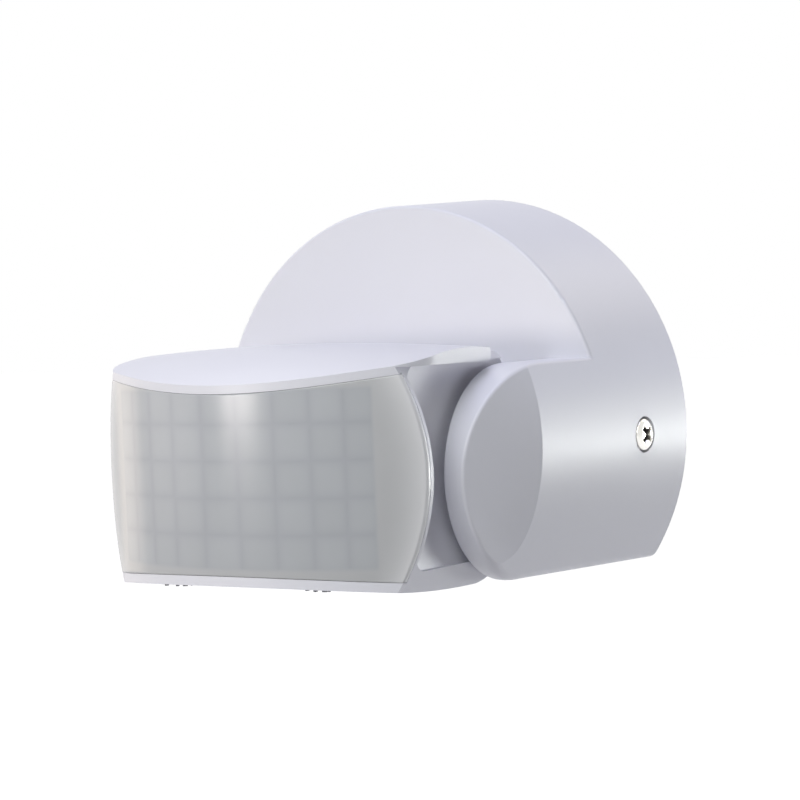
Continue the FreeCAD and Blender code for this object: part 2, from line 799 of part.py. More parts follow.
def headForm(name, inset, arc, cheeks):
    """The head without its cap, every face moved inwards by the inset."""
    body = headSlab(name, inset, inset)
    barrelPocket(body, inset)
    arcPocket(body, arc)
    half = "(cheek_half_width - %s)" % inset
    return fuse(cut(body, cheeks), rod("-" + half, *pivot, "drum_radius - " + inset, "2 * " + half, "X"))


recessArc = "(lens_radius - cheek_rim)"
recessFront = "(lens_axis_out + sqrt(%s ^ 2 - cheek_half_width ^ 2))" % recessArc
recess = common(cheekRoom("cheek_recess", "0", recessFront),
                rod("0", "-lens_axis_out", "-base_radius", recessArc, "2 * base_radius"))
head = headForm("head_form", "0", "lens_radius", recess)
hollow = headForm("head_core", "head_wall", "lens_radius - lens_thickness - lens_gap",
                  cheekRoom("cheek_wall", "head_wall", frontEnd))

# Cap: the top reaches over the recesses, with rounded corners beside the lens
cap = newBody("cap_form")
plan = sketchOn(cap, "XY_Plane", "cheek_top")
cornerX = "(cap_half_width - cap_corner)"
cornerBack = "sqrt((lens_radius - cap_corner) ^ 2 - %s ^ 2)" % cornerX
cornerOut = "(lens_axis_out + %s)" % cornerBack
meetX = "(%s * lens_radius / (lens_radius - cap_corner))" % cornerX
meetOut = "(lens_axis_out + %s * lens_radius / (lens_radius - cap_corner))" % cornerBack
capRear = "(pivot_out + cap_rear_reach)"
outline(plan, [
    ("-" + meetX, "-" + meetOut, "left", "lens_radius"),
    (meetX, "-" + meetOut, "left", "cap_corner"),
    ("cap_half_width", "-" + cornerOut),
    ("cap_half_width", "-" + capRear),
    ("cheek_half_width - head_wall / 2", "-(pivot_out + rear_reach)"),
    ("-cheek_half_width + head_wall / 2", "-(pivot_out + rear_reach)"),
    ("-cap_half_width", "-" + capRear),
    ("-cap_half_width", "-" + cornerOut, "left", "cap_corner"),
])
extrude("Pad", plan, "top_height - cheek_top + 1")
crownGroove(cap, "0")

lensAxis = rod("0", "-lens_axis_out", "-2 * base_radius", "lens_radius - lens_thickness - lens_gap",
               "4 * base_radius")
lensRoom = cut(headSlab("lens_room", "top_rim", "bottom_rim"), lensAxis)
trunnionLength = "(yoke_half_gap + wall + trunnion_end)"
trunnion = rod("-" + trunnionLength, *pivot, "trunnion_radius", "2 * " + trunnionLength, "X")
moulded = cut(fuse(head, cap, trunnion), hollow, lensRoom)

boardFace = "(-sensor_board_out)"
boardRear = "(-sensor_board_out + board_thickness)"
ribs = []
headHoles = [rod("-base_radius", *pivot, "trunnion_bore", "2 * base_radius", "X")]
sensorPosts = []
for sign in both:
    inner = "(sensor_board_width / 2 - sensor_rib_lap)"
    outerFace = "(cheek_half_width - head_wall / 2)"
    left, right = (inner, outerFace) if sign == "" else ("-" + outerFace, "-" + inner)
    ribLow = "sensor_board_low + sensor_rib_low"
    ribHigh = "sensor_board_low + sensor_board_height - sensor_rib_high"
    ribs.append(block(left, right, boardRear, boardRear + " + sensor_rib_depth", ribLow, ribHigh))
    for z in (ribLow + " + sensor_post_inset", ribHigh + " - sensor_post_inset"):
        sensorPosts.append((sign + "(sensor_board_width / 2 - sensor_post_in + small_screw / 4)", z))
for x, z in sensorPosts:
    headHoles.append(rod(x, boardRear + " - 1", z, "small_screw + running_gap", "sensor_rib_depth", "Y"))
dials = [("time", "time_dial_x", "time_dial_turn"), ("lux", "lux_dial_x", "lux_dial_turn")]
wellRadius = "(dial_radius + well_gap)"
for name, x, turn in dials:
    ribs.append(rod(x, "-dial_out", "-dial_top + running_gap", wellRadius + " + well_collar", "well_roof"))
    headHoles.append(rod(x, "-dial_out", "-belly_drop - well_roof", wellRadius,
                         "belly_drop + well_roof - dial_top + 4 * running_gap"))
    headHoles.append(rod(x, "-dial_out", "-belly_drop", "dial_shaft + running_gap",
                         "belly_drop - dial_top + 2 * well_roof"))
for sign in both:
    slotX = {"": "yoke_half_gap + wall + clip_play",
             "-": "-(yoke_half_gap + wall + clip_play + clip_groove)"}[sign]
    headHoles.append(cut(rod(slotX, *pivot, "trunnion_radius + 1", "clip_groove", "X"),
                         rod(slotX, *pivot, "trunnion_radius - clip_depth", "clip_groove", "X")))
node("head_housing", cut(fuse(moulded, *ribs), *headHoles))

# Lens: a curved window, flush with the housing, with furrows between its facets on the inside
lens = newBody("lens_form")
arch = sketchOn(lens, "XY_Plane")
lensHalf = "(head_half_width + 3)"
lensInner = "(lens_radius - lens_thickness)"
outerY = "-lens_axis_out - sqrt(lens_radius ^ 2 - %s ^ 2)" % lensHalf
innerY = "-lens_axis_out - sqrt(%s ^ 2 - %s ^ 2)" % (lensInner, lensHalf)
outline(arch, [
    ("-" + lensHalf, outerY, "left", "lens_radius"),
    (lensHalf, outerY),
    (lensHalf, innerY, "right", lensInner),
    ("-" + lensHalf, innerY),
])
extrude("Pad", arch, "4 * top_height", "Symmetric")
barrelPocket(lens, "0")
lensBand = headSlab("lens_band", "(top_rim + lens_gap)", "(bottom_rim + lens_gap)")
furrows = []
for line in (0.5, 1.5, 2.5, 3.5, 4.5):
    bend = "(%s * facet_width / %s * 180 / pi)" % (line, lensInner)
    for sign in both:
        furrows.append(rod("%s%s * sin(%s)" % (sign, lensInner, bend),
                           "-lens_axis_out - %s * cos(%s)" % (lensInner, bend),
                           "-base_radius", "facet_groove", "2 * base_radius"))
for line in range(5):
    furrows.append(rod("0", "-lens_axis_out", "facet_top - %d * facet_height" % line,
                       lensInner + " + facet_groove", "facet_groove * 1.6"))
window = common(lens, lensBand)
for furrow in furrows:
    window = cut(window, furrow)
node("fresnel_lens", window)

# Frame that holds the lens from behind, all round its edge
frame = newBody("frame_form")
bow = sketchOn(frame, "XY_Plane")
frameHalf = "(cheek_half_width - head_wall - frame_gap)"
frameOuter = "(lens_radius - lens_thickness - 2 * lens_gap)"
frameInner = "(%s - frame_thickness)" % frameOuter
outerY = "-lens_axis_out - sqrt(%s ^ 2 - %s ^ 2)" % (frameOuter, frameHalf)
innerY = "-lens_axis_out - sqrt(%s ^ 2 - %s ^ 2)" % (frameInner, frameHalf)
outline(bow, [
    ("-" + frameHalf, outerY, "left", frameOuter),
    (frameHalf, outerY),
    (frameHalf, innerY, "right", frameInner),
    ("-" + frameHalf, innerY),
])
extrude("Pad", bow, "4 * top_height", "Symmetric")
frameInset = "(head_wall + frame_gap)"
openInset = "(head_wall + frame_gap + frame_border)"
opening = cut(headSlab("frame_opening", openInset, openInset),
              block("-2 * base_radius", "-(%s - frame_border)" % frameHalf, "-2 * base_radius", "0",
                    "-base_radius", "base_radius"),
              block("%s - frame_border" % frameHalf, "2 * base_radius", "-2 * base_radius", "0",
                    "-base_radius", "base_radius"))
border = cut(common(frame, headSlab("frame_band", frameInset, frameInset)), opening)
wellNotches = []
for name, x, turn in dials:
    wellNotches.append(rod(x, "-dial_out", "-2 * belly_drop", wellRadius + " + well_collar + frame_gap",
                           "2 * belly_drop - dial_top + well_roof + 2 * running_gap"))
node("lens_frame", cut(border, *wellNotches))

# Friction rings between head and arms, and the rings that keep the trunnions in the arms
rings = []
clips = []
for sign in both:
    start = {"": "cheek_half_width + friction_play", "-": "-(yoke_half_gap - 2 * friction_play)"}[sign]
    rings.append(cut(rod(start, *pivot, "trunnion_radius + friction_width",
                         "yoke_half_gap - cheek_half_width - 3 * friction_play", "X"),
                     rod(start, *pivot, "trunnion_radius + friction_play",
                         "yoke_half_gap - cheek_half_width", "X")))
    start = {"": "yoke_half_gap + wall + clip_play + running_gap",
             "-": "-(yoke_half_gap + wall + clip_play + clip_groove - running_gap)"}[sign]
    washer = cut(rod(start, *pivot, "trunnion_radius + clip_lip", "clip_groove - 2 * running_gap", "X"),
                 rod(start, *pivot, "trunnion_radius - clip_depth + running_gap", "2 * clip_groove", "X"))
    mouth = block("-2 * base_radius", "2 * base_radius", "-pivot_out - clip_mouth",
                  "-pivot_out + clip_mouth", "-pivot_drop", "base_radius")
    clips.append(cut(washer, mouth))
node("friction_rings", group(*rings))
node("trunnion_clips", group(*clips))

# Sensor board with the detector, light sensor and indicator, facing the lens
board = block("-sensor_board_width / 2", "sensor_board_width / 2", boardFace, boardRear, "sensor_board_low",
              "sensor_board_low + sensor_board_height")
boardHoles = [rod(x, boardFace + " - 1", z, "small_screw + running_gap", "board_thickness + 2", "Y")
              for x, z in sensorPosts]
node("sensor_board", cut(board, *boardHoles))
headScrew = panScrew("small_head", "small_head_height", "small_screw", "(board_thickness + board_standoff)")
crossRecess(headScrew, "small_head", "small_head_height")
node("head_screws", group(*[copyOf(headScrew, x, boardFace, z, (V(1, 0, 0), 90))
                            for x, z in sensorPosts]))
eye = "facet_top - 1.5 * facet_height"
holderFace = boardFace + " - holder_height"
node("detector_holder", cut(rod("0", holderFace, eye, "holder_radius", "holder_height", "Y"),
                            rod("0", holderFace + " - 1", eye, "holder_bore", "holder_height + 2", "Y")))
canFace = holderFace + " - flange_thickness - can_height"
can = fuse(rod("0", holderFace + " - flange_thickness", eye, "flange_radius", "flange_thickness", "Y"),
           rod("0", canFace, eye, "can_radius", "can_height", "Y"))
paneRoom = ("-pane_width / 2", "pane_width / 2", canFace, canFace + " + pane_thickness",
            eye + " - pane_height / 2", eye + " + pane_height / 2")
pinPlaces = [("-pin_offset", " - pin_offset"), ("pin_offset", " - pin_offset"), ("-pin_offset", " + pin_offset")]
pins = [rod(x, holderFace, eye + z, "pin_radius", "holder_height", "Y") for x, z in pinPlaces]
node("pir_detector", cut(fuse(can, *pins), block(*paneRoom)))
node("detector_window", block(*paneRoom))
node("light_sensor", rod("side_part_x", boardFace + " - light_sensor_height", "side_part_z",
                         "light_sensor_radius", "light_sensor_height", "Y"))
dome = doc.addObject("Part::Sphere", "dome")
dome.setExpression("Radius", full("led_radius"))
place(dome, "-side_part_x", boardFace + " - led_height", "side_part_z")
node("indicator_led", fuse(rod("-side_part_x", boardFace + " - led_height", "side_part_z", "led_radius",
                               "led_height", "Y"),
                           rod("-side_part_x", boardFace + " - led_collar_height", "side_part_z",
                               "led_radius + led_collar", "led_collar_height", "Y"), dome))

# Dial board above the underside, its trimmers, and the two dials that turn them
node("dial_board", block("lux_dial_x - dial_radius", "time_dial_x + dial_radius", "-dial_out - dial_radius",
                         boardFace, "dial_board_z", "dial_board_z + dial_board_thickness"))
for name, x, turn in dials:
    case = block(x + " - trimmer_half", x + " + trimmer_half", "-dial_out - trimmer_half",
                 "-dial_out + trimmer_half", "dial_board_z - trimmer_height", "dial_board_z")
    socket = rod(x, "-dial_out", "dial_board_z - trimmer_height - 1", "dial_shaft + running_gap",
                 "trimmer_height / 2 + 1")
    node(name + "_trimmer", cut(case, socket))
    knob = newBody(name + "_knob_form")
    place(knob, x, "-dial_out", "-dial_top")
    knob.Placement.Rotation = FreeCAD.Rotation(V(0, 0, 1), value(turn))
    disc = sketchOn(knob, "XY_Plane")
    ring(disc, "0", "0", "dial_radius")
    extrude("Pad", disc, "dial_disc", backward=True)
    # small ribs round the rim and one grip bar, which lies midway between two of them
    rib = sketchOn(knob, "XY_Plane", "-dial_disc")
    rectangle(rib, "-rib_width / 2", "rib_width / 2", "dial_radius - rib_length",
              "dial_radius - rib_width / 4")
    tooth = extrude("Pad", rib, "rib_height", backward=True)
    teeth = knob.newObject("PartDesign::PolarPattern", name + "_teeth")
    teeth.Originals = [tooth]
    teeth.Axis = (rib, ["N_Axis"])
    teeth.Angle = 360
    teeth.Occurrences = 10
    knob.Tip = teeth
    grip = sketchOn(knob, "XY_Plane", "-dial_disc")
    rectangle(grip, "-grip_length / 2", "grip_length / 2", "-grip_width / 2", "grip_width / 2")
    extrude("Pad", grip, "grip_height", backward=True)
    shaft = sketchOn(knob, "XY_Plane")
    ring(shaft, "0", "0", "dial_shaft")
    extrude("Pad", shaft, "dial_top + dial_board_z - trimmer_height / 2 - 2 * running_gap")
    node(name + "_knob", knob)

doc.recompute()
troubled = [thing.Label for thing in doc.Objects if "Invalid" in thing.State or "Error" in thing.State]
troubled += [piece.Label for piece in nodes if piece.Shape.isNull() or not piece.Shape.isValid()]
if troubled:
    raise RuntimeError("failed: " + ", ".join(troubled))
for thing in doc.Objects:
    if thing.TypeId in ("PartDesign::Pocket", "PartDesign::Groove"):
        if not thing.Shape.Volume < thing.BaseFeature.Shape.Volume - 0.001:
            raise RuntimeError("cuts nothing: " + thing.Label)
os.makedirs("parts", exist_ok=True)
for piece in nodes:
    piece.Shape.exportStep("parts/%s.step" % piece.Label)
    print(piece.Label, len(piece.Shape.Solids), "solids", round(piece.Shape.Volume, 1), "mm3")
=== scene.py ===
# Wall-mounted infrared motion sensor: finishes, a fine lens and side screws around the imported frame.
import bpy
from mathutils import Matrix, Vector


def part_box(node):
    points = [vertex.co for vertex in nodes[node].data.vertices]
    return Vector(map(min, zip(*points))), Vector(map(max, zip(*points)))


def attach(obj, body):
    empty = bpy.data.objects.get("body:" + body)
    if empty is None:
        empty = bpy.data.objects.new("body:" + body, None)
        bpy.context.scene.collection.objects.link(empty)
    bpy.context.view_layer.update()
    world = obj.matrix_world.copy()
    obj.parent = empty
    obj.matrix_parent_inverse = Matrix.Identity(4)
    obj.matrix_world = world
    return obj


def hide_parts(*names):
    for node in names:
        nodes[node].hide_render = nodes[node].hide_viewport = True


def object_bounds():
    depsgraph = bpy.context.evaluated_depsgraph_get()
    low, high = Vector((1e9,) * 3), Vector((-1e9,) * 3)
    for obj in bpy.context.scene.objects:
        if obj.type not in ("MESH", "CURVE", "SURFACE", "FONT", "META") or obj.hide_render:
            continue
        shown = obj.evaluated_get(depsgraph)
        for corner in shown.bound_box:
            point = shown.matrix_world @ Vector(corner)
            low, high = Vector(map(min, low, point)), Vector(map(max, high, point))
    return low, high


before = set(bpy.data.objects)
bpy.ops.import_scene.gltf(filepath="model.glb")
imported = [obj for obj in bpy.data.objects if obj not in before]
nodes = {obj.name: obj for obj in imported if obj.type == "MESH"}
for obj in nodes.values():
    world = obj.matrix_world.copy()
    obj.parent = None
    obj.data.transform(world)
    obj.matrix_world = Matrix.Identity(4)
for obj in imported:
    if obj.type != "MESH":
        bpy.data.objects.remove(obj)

import ast
import math
import bpy
from mathutils import Matrix, Vector

mm = 0.001
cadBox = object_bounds()
print("frame loaded:", len(nodes), "nodes")


# Shared helpers

def hexColor(code):  # sRGB hex to the linear colour that the shaders want
    channels = [int(code[i:i + 2], 16) / 255 for i in (1, 3, 5)]
    linear = [c / 12.92 if c <= 0.04045 else ((c + 0.055) / 1.055) ** 2.4 for c in channels]
    return (*linear, 1.0)


def addNode(tree, kind, inputs=None, **settings):  # inputs: socket name or number -> value, socket or node
    made = tree.nodes.new(kind)
    for name, value in settings.items():
        setattr(made, name, value)
    for key, value in (inputs or {}).items():
        if isinstance(value, bpy.types.Node):
            value = value.outputs[0]
        if isinstance(value, bpy.types.NodeSocket):
            tree.links.new(value, made.inputs[key])
        else:
            made.inputs[key].default_value = value
    return made


def newMaterial(name):
    material = bpy.data.materials.new(name)
    material.use_nodes = True
    tree = material.node_tree
    shader = tree.nodes["Principled BSDF"]
    place = addNode(tree, "ShaderNodeTexCoord").outputs["Object"]
    return material, tree, shader, place


def setShader(shader, **values):  # an underscore stands for the space in a socket's name
    for name, value in values.items():
        shader.inputs[name.replace("_", " ")].default_value = value


def addNoise(tree, place, sizeMm, detail):  # noise with grains about that many millimetres wide
    return addNode(tree, "ShaderNodeTexNoise", {"Vector": place, "Scale": 1 / (sizeMm * mm),
                                                "Detail": detail}).outputs["Fac"]


def addSpread(tree, value, middle, spread):  # 0 to 1 becomes a little less to a little more than the middle
    return addNode(tree, "ShaderNodeMapRange", {"Value": value, "To Min": middle - spread,
                                                "To Max": middle + spread}).outputs[0]


def addBlend(tree, factor, low, high):  # low and high are sRGB hex colours
    return addNode(tree, "ShaderNodeMix", {"Factor": factor, 6: hexColor(low), 7: hexColor(high)},
                   data_type="RGBA").outputs[2]


def addGrain(tree, shader, place, finish):  # a bump whose depth is a share of its grains' width
    grain = addNoise(tree, place, finish["grainMm"], finish["grainDetail"])
    bump = addNode(tree, "ShaderNodeBump", {"Height": grain, "Strength": finish["bump"],
                                            "Distance": finish["grainMm"] * mm * finish["grainDepth"]})
    tree.links.new(bump.outputs[0], shader.inputs["Normal"])
    return grain


def heading(azimuth, elevation):  # the direction from the object towards that side, from degrees
    az, el = math.radians(azimuth), math.radians(elevation)
    return Vector((math.sin(az) * math.cos(el), -math.cos(az) * math.cos(el), math.sin(el)))


# Camera: eye level with the head, from the front right, with the photo's slight roll

cameraView = {"azimuth": 34.19, "elevation": 2.54, "roll": -2.4, "distance": 498.85 * mm,
              "lens": 112.92, "target": Vector((-10.3, -16.07, 5.82)) * mm, "clip": (0.01, 20)}


def placeCamera(view):
    az, roll = math.radians(view["azimuth"]), math.radians(view["roll"])
    back = heading(view["azimuth"], view["elevation"])
    level = Vector((math.cos(az), math.sin(az), 0))
    upright = back.cross(level)
    right = level * math.cos(roll) + upright * math.sin(roll)
    up = upright * math.cos(roll) - level * math.sin(roll)
    data = bpy.data.cameras.new("camera")
    data.lens = view["lens"]
    data.clip_start, data.clip_end = view["clip"]
    camera = bpy.data.objects.new("camera", data)
    camera.matrix_world = Matrix((right, up, back)).transposed().to_4x4()
    camera.location = view["target"] + back * view["distance"]
    bpy.context.scene.collection.objects.link(camera)
    bpy.context.scene.camera = camera


placeCamera(cameraView)
bpy.context.scene.view_settings.view_transform = "Standard"
print("camera placed")


# Studio: a pale floor, a soft world and softboxes. The paper is a light grey, so that it throws little
# light up at the object, and floorLift makes it white for the camera

studio = {"floorDrop": 110 * mm, "floorSize": 8.0, "floorColor": "#ACACAC", "floorLift": 0.93,
          "backdrop": "#FFFFFF", "worldLevel": 0.09}
# Each lamp: azimuth and height that it shines from, distance, width, height, power in watts, colour
lamps = {
    "topBox": (20, 86, 1.0, 0.5, 0.5, 3.1, "#D4D6FF"),
    "frontBox": (10, 36, 1.0, 0.7, 0.7, 5.8, "#FCFFFC"),
    "leftBox": (-60, 8, 1.0, 0.5, 0.5, 0.7, "#FFF5F1"),
    "tipBox": (-124, 47, 1.0, 0.3, 0.3, 0.4, "#FFFFFF"),
    "sideBand": (146, -2.5, 1.0, 0.5, 0.3, 1.9, "#FAFDFF"),
    "sideHigh": (150, 12, 1.0, 0.5, 0.2, 0.45, "#DCE2FF"),
    "lowBox": (155, -16, 1.0, 0.6, 0.4, 12.8, "#FCFFFA"),
    "rimBox": (160, 38, 1.0, 0.5, 0.5, 0.95, "#FFF6E4"),
    "lensStrip": (-92, -3, 1.0, 0.34, 0.7, 1.15, "#FFF0E0"),
    "lensPatch": (-24.5, 1.5, 0.337, 0.08, 0.045, 0.18, "#FFF8F4"),
}


def seenWhite(tree, strength):  # that strength for the rays that see the backdrop, none as light on the part
    path = addNode(tree, "ShaderNodeLightPath").outputs
    first = addNode(tree, "ShaderNodeMath", {0: path["Is Camera Ray"], 1: path["Is Glossy Ray"]},
                    operation="MAXIMUM")
    seen = addNode(tree, "ShaderNodeMath", {0: first, 1: path["Is Transmission Ray"]}, operation="MAXIMUM")
    return addNode(tree, "ShaderNodeMath", {0: seen, 1: strength}, operation="MULTIPLY")


def makeWorld():
    world = bpy.data.worlds.new("studioWorld")
    world.use_nodes = True
    tree = world.node_tree
    back = tree.nodes["Background"]
    back.inputs["Color"].default_value = hexColor(studio["backdrop"])
    extra = seenWhite(tree, 1 - studio["worldLevel"])
    total = addNode(tree, "ShaderNodeMath", {0: extra, 1: studio["worldLevel"]}, operation="ADD")
    tree.links.new(total.outputs[0], back.inputs["Strength"])
    bpy.context.scene.world = world


def makeFloor():
    low = cadBox[0].z - studio["floorDrop"]
    half = studio["floorSize"] / 2
    mesh = bpy.data.meshes.new("floor")
    mesh.from_pydata([(-half, -half, low), (half, -half, low), (half, half, low), (-half, half, low)], [],
                     [(0, 1, 2, 3)])
    floor = bpy.data.objects.new("floor", mesh)
    bpy.context.scene.collection.objects.link(floor)
    material, tree, shader, _ = newMaterial("paperFloor")  # matt paper roll: no gloss
    setShader(shader, Base_Color=hexColor(studio["floorColor"]), Roughness=1.0,
              Emission_Color=hexColor(studio["backdrop"]))
    tree.links.new(seenWhite(tree, studio["floorLift"]).outputs[0], shader.inputs["Emission Strength"])
    mesh.materials.append(material)


def makeLamps():
    middle = (cadBox[0] + cadBox[1]) / 2
    for name, (azimuth, height, distance, width, tall, power, color) in lamps.items():
        away = heading(azimuth, height)
        data = bpy.data.lights.new(name, "AREA")
        data.shape = "RECTANGLE"
        data.size, data.size_y = width, tall
        data.energy = power
        data.color = hexColor(color)[:3]
        lamp = bpy.data.objects.new(name, data)
        lamp.rotation_euler = away.to_track_quat("Z", "Y").to_euler()
        lamp.location = middle + away * distance
        lamp.visible_camera = False
        bpy.context.scene.collection.objects.link(lamp)


makeWorld()
makeFloor()
makeLamps()
print("studio lit")


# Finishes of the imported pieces

# What a finish doesn't set itself; its grainDepth is a share of grainMm
commonFinish = dict(cloudDetail=2.0, grainDetail=3.0, grainDepth=0.1, roughSpread=0.04, ior=1.53,
                    metallic=0.0)
finishes = {
    "mouldedAbs": dict(low="#E4E4EC", high="#E8E8EF", cloudMm=18, grainMm=0.35, bump=0.12, roughness=0.36),
    "plateAbs": dict(low="#DCDCE0", high="#E2E2E6", cloudMm=12, grainMm=0.6, bump=0.3, roughness=0.55),
    "grommetRubber": dict(low="#8E9094", high="#989A9E", cloudMm=4, grainMm=0.4, bump=0.4, roughness=0.75),
    "polyamideTerminal": dict(low="#D9D6CC", high="#E2DFD6", cloudMm=6, grainMm=0.4, bump=0.3,
                              roughness=0.45),
    "zincPlatedSteel": dict(low="#B9BDC4", high="#CCD0D6", cloudMm=1.5, grainMm=0.15, bump=0.3,
                            roughness=0.3, metallic=1.0, ior=1.5),
    "glassEpoxyLaminate": dict(low="#2E6B46", high="#387A50", cloudMm=5, grainMm=0.5, bump=0.25,
                               roughness=0.4),
    "relayPbt": dict(low="#23262B", high="#2C2F35", cloudMm=5, grainMm=0.4, bump=0.2, roughness=0.4),
    "filmCapacitorPbt": dict(low="#C9A227", high="#D4AE35", cloudMm=5, grainMm=0.4, bump=0.2, roughness=0.4),
    "shrinkSleeve": dict(low="#1C2230", high="#242B3B", cloudMm=5, grainMm=0.4, bump=0.1, roughness=0.28),
    "epoxyDip": dict(low="#2B5FA8", high="#356CB6", cloudMm=3, grainMm=1.1, bump=0.5, roughness=0.35),
    "frameStyrene": dict(low="#C9CACD", high="#D2D3D6", cloudMm=9, grainMm=0.4, bump=0.2, roughness=0.5),
    "nitrileRubber": dict(low="#1E1F20", high="#292A2B", cloudMm=3, grainMm=0.3, bump=0.4, roughness=0.8),
    "nickelCan": dict(low="#B7B4AC", high="#C9C6BE", cloudMm=3, grainMm=0.2, bump=0.1, roughness=0.24,
                      metallic=1.0, ior=1.5),
    "infraredFilter": dict(low="#17181C", high="#1E2026", cloudMm=3, grainMm=0.5, bump=0.05, roughness=0.12),
    "sensorCeramic": dict(low="#C7A27C", high="#D8B48F", cloudMm=1.2, grainMm=0.3, bump=0.4, roughness=0.5),
    "indicatorEpoxy": dict(low="#A8191B", high="#B82224", cloudMm=2, grainMm=0.5, bump=0.05, roughness=0.15),
    "trimmerPbt": dict(low="#2F63A8", high="#3B70B4", cloudMm=3, grainMm=0.4, bump=0.2, roughness=0.45),
    # Painted shade: the dials' near-white acetal is painted mid grey for the shadow they sit in under the
    # head
    "shadedAcetalDial": dict(low="#98999F", high="#A3A4A9", cloudMm=3, grainMm=0.3, bump=0.2, roughness=0.4),
}
finishOf = {
    "base_housing": "mouldedAbs", "head_housing": "mouldedAbs", "wall_plate": "plateAbs",
    "cable_grommet": "grommetRubber", "terminal_block": "polyamideTerminal",
    "terminal_screws": "zincPlatedSteel", "board_screws": "zincPlatedSteel",
    "head_screws": "zincPlatedSteel", "trunnion_clips": "zincPlatedSteel", "side_screws": "zincPlatedSteel",
    "power_board": "glassEpoxyLaminate", "sensor_board": "glassEpoxyLaminate",
    "dial_board": "glassEpoxyLaminate", "relay": "relayPbt", "detector_holder": "relayPbt",
    "film_capacitor": "filmCapacitorPbt", "electrolytic_capacitor": "shrinkSleeve", "varistor": "epoxyDip",
    "lens_frame": "frameStyrene", "friction_rings": "nitrileRubber", "pir_detector": "nickelCan",
    "detector_window": "infraredFilter", "light_sensor": "sensorCeramic", "indicator_led": "indicatorEpoxy",
    "time_trimmer": "trimmerPbt", "lux_trimmer": "trimmerPbt",
    "time_knob": "shadedAcetalDial", "lux_knob": "shadedAcetalDial",
}


def grainedMaterial(name, finish):
    # Moulded plastics, coatings and plated metals: an even tone, a faint cloudiness from the melt or the
    # bath, and a fine grain, such as a mould's spark-eroded one, which turns the gloss into a satin sheen
    material, tree, shader, place = newMaterial(name)
    cloud = addNoise(tree, place, finish["cloudMm"], finish["cloudDetail"])
    tree.links.new(addBlend(tree, cloud, finish["low"], finish["high"]), shader.inputs["Base Color"])
    grain = addGrain(tree, shader, place, finish)
    rough = addSpread(tree, grain, finish["roughness"], finish["roughSpread"])
    tree.links.new(rough, shader.inputs["Roughness"])
    setShader(shader, IOR=finish["ior"], Metallic=finish["metallic"])
    return material


def finishNodes():
    made = {name: grainedMaterial(name, {**commonFinish, **finish}) for name, finish in finishes.items()}
    for node, finish in finishOf.items():
        for slot in nodes[node].material_slots:
            slot.material = made[finish]
    print("finishes:", len(made))


finishNodes()


# Geometry trees: formulas, named inputs and the way a tree becomes a piece

def formula(tree, text, names):
    # Turns a short formula such as "a - sqrt(b * b - c * c)" into math nodes. In names, each name has a
    # socket or a number
    operations = {ast.Add: "ADD", ast.Sub: "SUBTRACT", ast.Mult: "MULTIPLY", ast.Div: "DIVIDE"}
    calls = {"sqrt": "SQRT", "sin": "SINE", "cos": "COSINE", "asin": "ARCSINE", "floor": "FLOOR",
             "fract": "FRACT", "abs": "ABSOLUTE", "min": "MINIMUM", "max": "MAXIMUM"}

    def build(part):
        if isinstance(part, ast.BinOp):
            return addNode(tree, "ShaderNodeMath", {0: build(part.left), 1: build(part.right)},
                           operation=operations[type(part.op)]).outputs[0]
        if isinstance(part, ast.Call):
            inputs = {number: build(item) for number, item in enumerate(part.args)}
            return addNode(tree, "ShaderNodeMath", inputs, operation=calls[part.func.id]).outputs[0]
        if isinstance(part, ast.Constant):
            return float(part.value)
        return names[part.id]

    return build(ast.parse(text).body[0].value)


def startTree(name, settings, measured=()):  # measured: sizes that are read from the frame
    tree = bpy.data.node_groups.new(name, "GeometryNodeTree")
    numbers = (*settings["sizes"], *settings["shares"], *measured)
    for kind, labels in (("NodeSocketInt", settings["counts"]), ("NodeSocketFloat", numbers)):
        for label in labels:
            tree.interface.new_socket(name=label, in_out="INPUT", socket_type=kind)
    tree.interface.new_socket(name="Geometry", in_out="OUTPUT", socket_type="NodeSocketGeometry")
    given = addNode(tree, "NodeGroupInput").outputs
    place = addNode(tree, "ShaderNodeSeparateXYZ", {0: addNode(tree, "GeometryNodeInputPosition")}).outputs
    names = {label.replace(" ", ""): given[label] for label in numbers}
    names.update(u=place[0], v=place[1], w=place[2])
    return tree, given, names


def endTree(tree, geometry, material):
    realized = addNode(tree, "GeometryNodeRealizeInstances", {"Geometry": geometry})
    smooth = addNode(tree, "GeometryNodeSetShadeSmooth", {"Geometry": realized, "Shade Smooth": True})
    dressed = addNode(tree, "GeometryNodeSetMaterial", {"Geometry": smooth, "Material": material})
    addNode(tree, "NodeGroupOutput", {0: dressed})
    return tree


def inMetres(settings):
    sizes = {label: value * mm for label, value in settings["sizes"].items()}
    return {**sizes, **settings["shares"], **settings["counts"]}


def growPiece(name, tree, values, body):  # runs a tree once and keeps its result as a plain mesh
    carrier = bpy.data.objects.new(name + "Carrier", bpy.data.meshes.new(name + "Carrier"))
    bpy.context.scene.collection.objects.link(carrier)
    modifier = carrier.modifiers.new("grow", "NODES")
    modifier.node_group = tree
    for item in tree.interface.items_tree:
        if item.in_out == "INPUT":
            modifier[item.identifier] = values[item.name]
    evaluated = carrier.evaluated_get(bpy.context.evaluated_depsgraph_get())
    mesh = bpy.data.meshes.new_from_object(evaluated)
    bpy.data.objects.remove(carrier)
    mesh.name = name
    piece = bpy.data.objects.new(name, mesh)
    bpy.context.scene.collection.objects.link(piece)
    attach(piece, body)
    return piece


# Lens: the window of milky polyethylene, with its facets on the inner face

